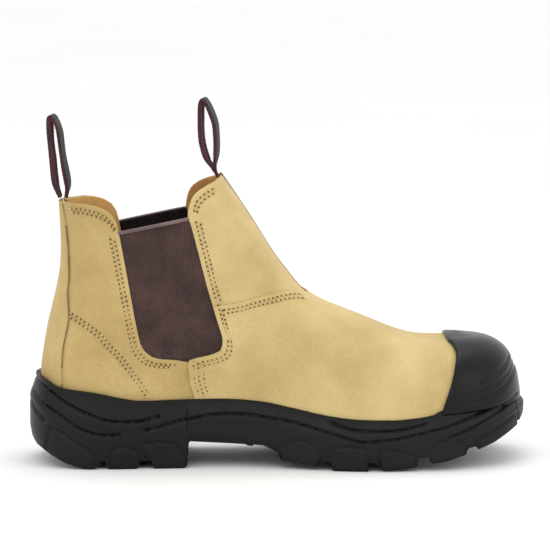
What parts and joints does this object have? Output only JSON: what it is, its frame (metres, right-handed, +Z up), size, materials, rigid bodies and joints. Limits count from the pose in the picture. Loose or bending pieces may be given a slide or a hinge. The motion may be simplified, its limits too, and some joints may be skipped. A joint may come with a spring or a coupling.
{
  "type": "steel toe work boot",
  "caption": "Slip-on suede work boot with elastic side gussets, webbing pull loops, a rubber toe bumper over a steel cap and a lugged rubber sole.",
  "frame": {"origin": "middle of the footprint box on the floor, under the boot", "axes": "+X towards the toe, +Z up, -Y the outer side of a right foot"},
  "size_m": [0.3183, 0.1158, 0.2319],
  "materials": {
    "suede": "matte nubuck",
    "lining": "matte",
    "elastic": "fine vertical rib",
    "sole_rubber": "matte moulded",
    "bumper_rubber": "semi-matte moulded",
    "steel": "satin",
    "board": "matte fibre",
    "foam": "matte foam",
    "cover_fabric": "knit",
    "gel": "soft",
    "webbing": "woven two-tone"
  },
  "bodies": {
    "boot": {"outsole": "sole_rubber", "midsole": "sole_rubber", "toe_bumper": "bumper_rubber", "steel_shank": "steel", "insole_board": "board", "steel_toe_cap": "steel", "toe_cap_edge_guard": "gel", "heel_counter": "board", "vamp": "suede", "back_quarter_lateral": "suede", "back_quarter_medial": "suede", "backstay": "suede", "gusset_lateral": "elastic", "gusset_medial": "elastic", "vamp_lining": "lining", "back_lining": "lining"},
    "front_shaft": {"front_quarter_lateral": "suede", "front_quarter_medial": "suede", "front_lining": "lining"},
    "rear_loop": {"rear_pull_loop": "webbing"},
    "front_loop": {"front_pull_loop": "webbing"},
    "insole": {"footbed": "foam", "footbed_top_cover": "cover_fabric", "heel_pad": "gel"}
  },
  "joints": [
    {"name": "shaft_front_flex", "type": "hinge", "parent": "boot", "child": "front_shaft", "pos_m": [0.0196, 0, 0.1086], "axis": [0, 1, 0], "range_deg": [0, 9], "stiffness_Nm_per_rad": 2, "deforming": ["gusset_lateral", "gusset_medial"]},
    {"name": "rear_loop_swing", "type": "hinge", "parent": "boot", "child": "rear_loop", "pos_m": [-0.1362, 0, 0.1686], "axis": [0, 1, 0], "range_deg": [-20, 10], "stiffness_Nm_per_rad": 0.05},
    {"name": "front_loop_swing", "type": "hinge", "parent": "front_shaft", "child": "front_loop", "pos_m": [-0.0395, 0, 0.185], "axis": [0, 1, 0], "range_deg": [-10, 35], "stiffness_Nm_per_rad": 0.05},
    {"name": "footbed_lift", "type": "hinge", "parent": "boot", "child": "insole", "pos_m": [0.1402, 0, 0.0352], "axis": [0, 1, 0], "range_deg": [0, 5]}
  ]
}
